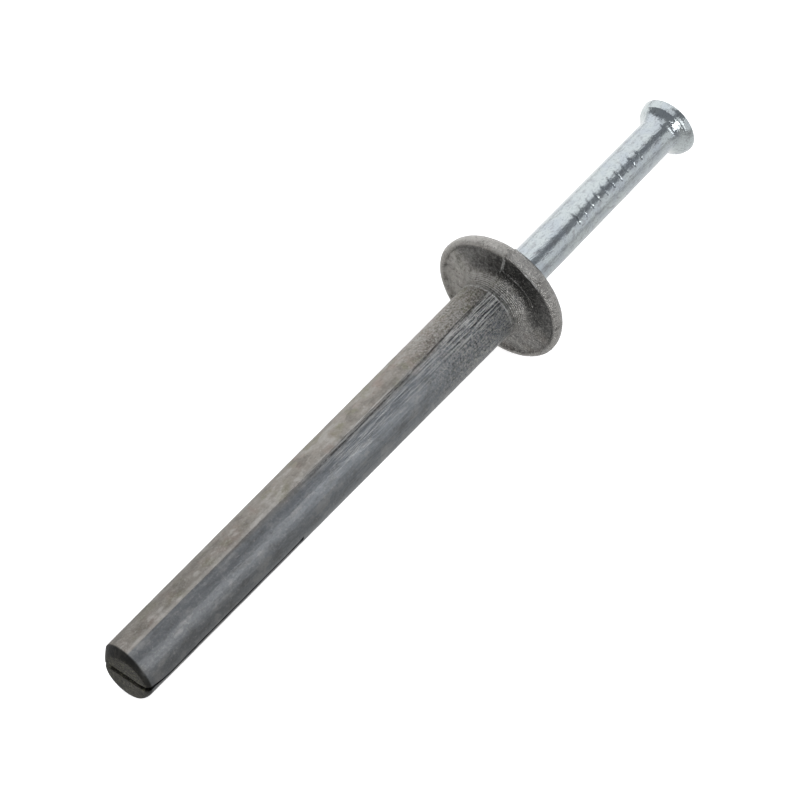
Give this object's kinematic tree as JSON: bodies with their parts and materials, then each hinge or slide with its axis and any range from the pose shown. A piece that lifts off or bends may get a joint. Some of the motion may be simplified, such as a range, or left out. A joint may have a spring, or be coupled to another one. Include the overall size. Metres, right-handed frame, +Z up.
{
  "type": "hammer drive anchor",
  "caption": "Zinc hammer drive anchor lying on its side: mushroom-head sleeve with a split tip, and a steel drive nail standing out of it.",
  "frame": {"origin": "on the surface that the anchor lies on, under the middle of its bounding box", "axes": "+X runs along the anchor from its split tip to the nail's head, +Z is up from the surface"},
  "size_m": [0.0798, 0.0138, 0.0139],
  "materials": {
    "cast_zinc": "die-cast zinc alloy, bare, satin grey with a fine cast grain",
    "plated_steel": "bright zinc-plated carbon steel, satin, lightly mottled"
  },
  "bodies": {
    "root": {"anchor_body": "cast_zinc", "drive_nail": "plated_steel"}
  },
  "joints": []
}
